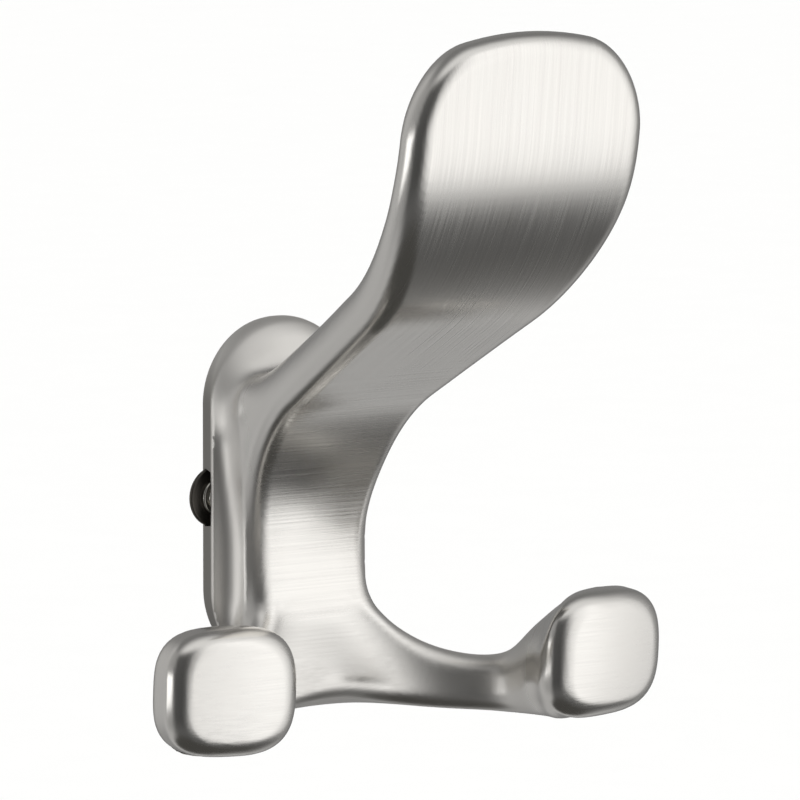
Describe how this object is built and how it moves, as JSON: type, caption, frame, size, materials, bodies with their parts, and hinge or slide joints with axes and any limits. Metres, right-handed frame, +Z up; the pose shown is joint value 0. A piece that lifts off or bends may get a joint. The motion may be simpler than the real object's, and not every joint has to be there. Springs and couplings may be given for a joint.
{
  "type": "coat hook",
  "caption": "Cast wall coat hook with a tall paddle-shaped upper prong, lower side prongs ending in rounded pads, and an oblong base screwed to the wall at its sides.",
  "frame": {"origin": "middle of the back of the base, on the wall plane, at the height of the two screws", "axes": "+Y into the wall, +Z up, +X to the viewer's right when facing the hook; the hook stands out towards -Y"},
  "size_m": [0.095, 0.0695, 0.1124],
  "materials": {
    "satin_nickel": "satin nickel plating over a zinc casting, finely brushed on the front faces",
    "screw_steel": "plain turned steel",
    "washer_steel": "dark grey steel"
  },
  "bodies": {
    "root": {"hook_casting": "satin_nickel", "fixing_screws": "screw_steel", "screw_washers": "washer_steel"}
  },
  "joints": []
}
